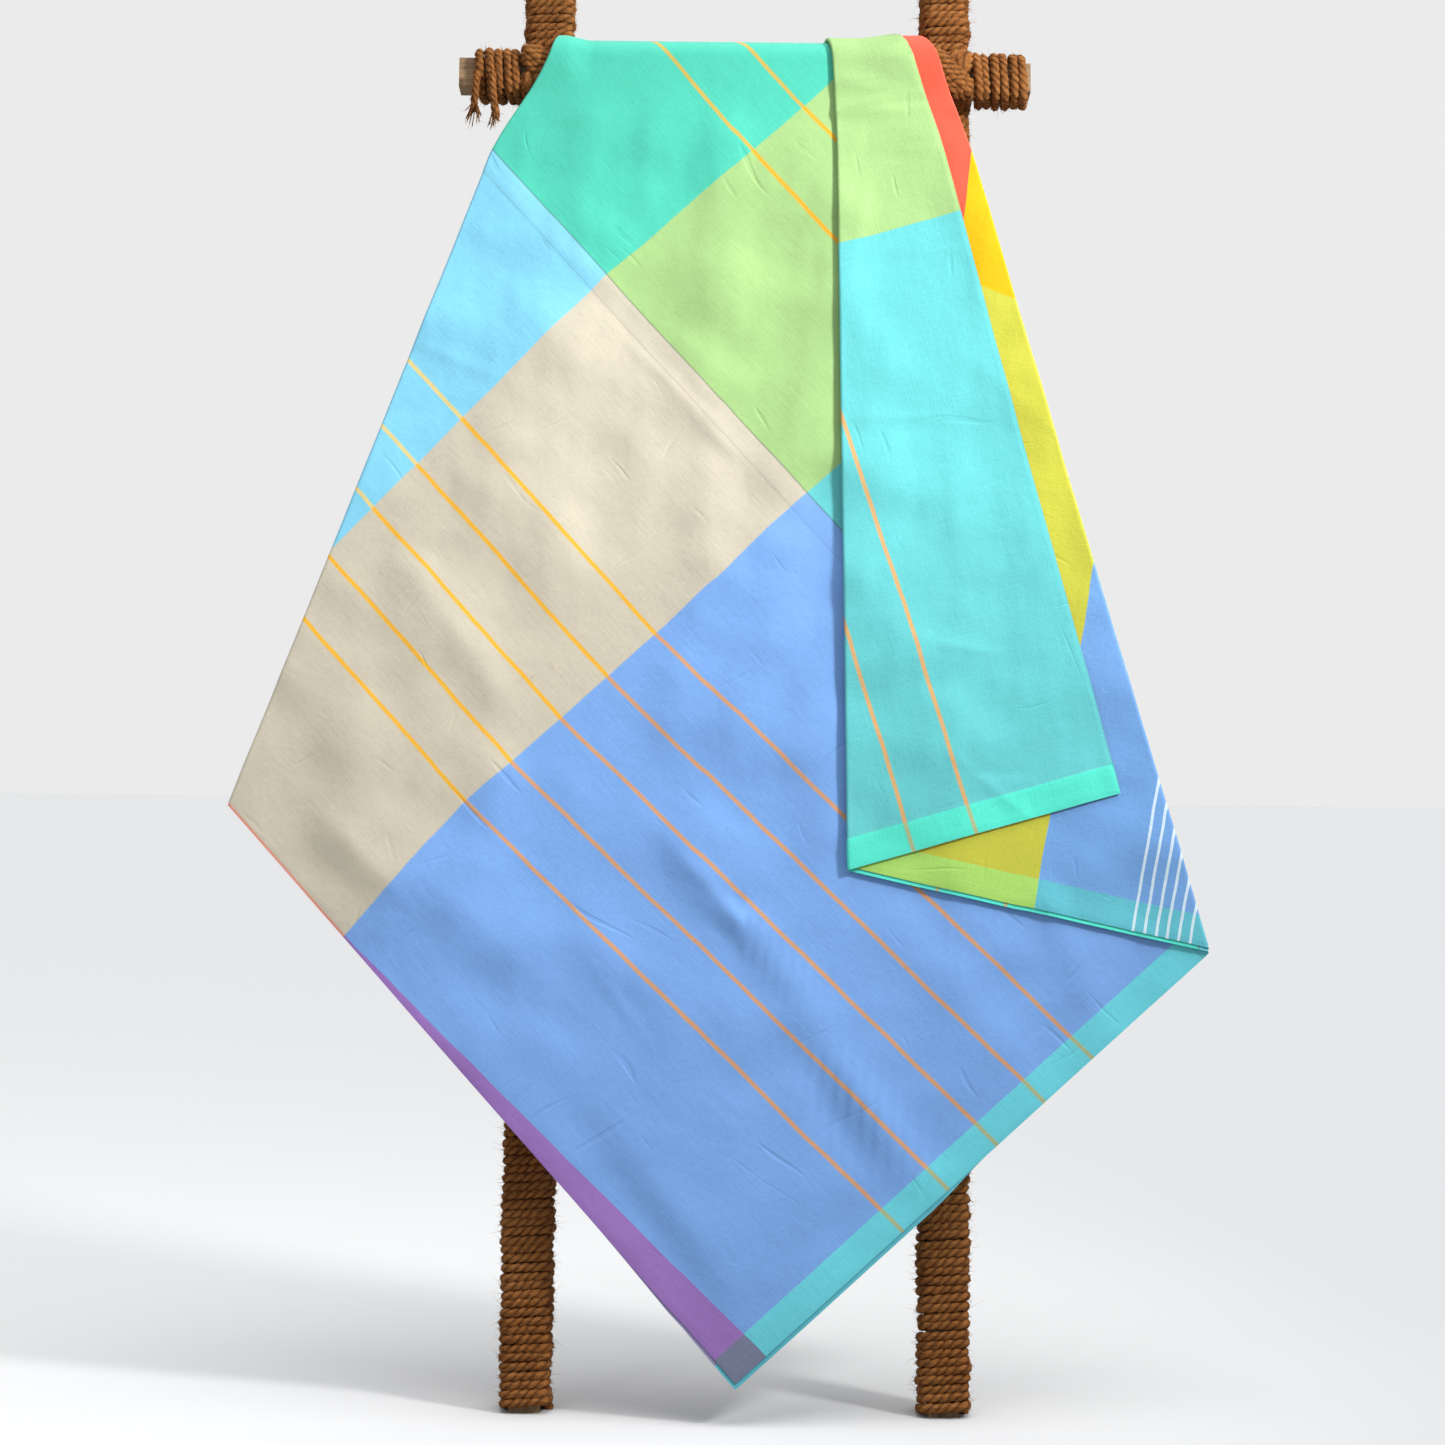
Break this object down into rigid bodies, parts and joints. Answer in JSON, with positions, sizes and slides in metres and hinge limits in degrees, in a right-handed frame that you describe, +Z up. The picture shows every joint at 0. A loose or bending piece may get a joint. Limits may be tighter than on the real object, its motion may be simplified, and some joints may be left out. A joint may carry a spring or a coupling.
{
  "type": "quilt on a leaning ladder rack",
  "caption": "Leaning ladder rack of rope-bound battens, its rungs lashed on, with a patchwork quilt folded diagonally over the top rung.",
  "frame": {"origin": "on the floor, midway between the two feet, under the middle line of the posts", "axes": "+Z up, +X to the rack's right as seen from the front, front towards -Y; the rack leans back towards +Y"},
  "size_m": [1.1586, 0.3529, 1.7851],
  "materials": {
    "batten_wood": "weathered, unfinished softwood",
    "coir_rope": "twisted coir rope, hairy and matte",
    "quilt_cotton": "plain-woven cotton in colour-woven blocks with thin stripes, soft sheen"
  },
  "bodies": {
    "rack": {"post_left": "batten_wood", "post_right": "batten_wood", "rung_1": "batten_wood", "rung_2": "batten_wood", "rung_3": "batten_wood", "rung_4": "batten_wood", "post_wrap_left_1": "coir_rope", "post_wrap_left_2": "coir_rope", "post_wrap_left_3": "coir_rope", "post_wrap_left_4": "coir_rope", "post_wrap_left_5": "coir_rope", "post_wrap_right_1": "coir_rope", "post_wrap_right_2": "coir_rope", "post_wrap_right_3": "coir_rope", "post_wrap_right_4": "coir_rope", "post_wrap_right_5": "coir_rope", "rung_wrap_1": "coir_rope", "rung_wrap_2": "coir_rope", "rung_wrap_3": "coir_rope", "rung_wrap_4": "coir_rope", "rung_end_wrap_left_1": "coir_rope", "rung_end_wrap_left_2": "coir_rope", "rung_end_wrap_left_3": "coir_rope", "rung_end_wrap_left_4": "coir_rope", "rung_end_wrap_right_1": "coir_rope", "rung_end_wrap_right_2": "coir_rope", "rung_end_wrap_right_3": "coir_rope", "rung_end_wrap_right_4": "coir_rope", "lashing_left_1": "coir_rope", "lashing_left_2": "coir_rope", "lashing_left_3": "coir_rope", "lashing_left_4": "coir_rope", "lashing_right_1": "coir_rope", "lashing_right_2": "coir_rope", "lashing_right_3": "coir_rope", "lashing_right_4": "coir_rope"},
    "quilt": {"quilt_front_flap": "quilt_cotton", "quilt_right_pleat": "quilt_cotton", "quilt_front_panel": "quilt_cotton", "quilt_inner_layer_1": "quilt_cotton", "quilt_inner_layer_2": "quilt_cotton", "quilt_saddle": "quilt_cotton", "quilt_back_fall": "quilt_cotton"}
  },
  "joints": [
    {"name": "quilt_lift", "type": "slide", "parent": "rack", "child": "quilt", "axis": [0, 0, 1], "range_m": [0, 0.8]}
  ]
}
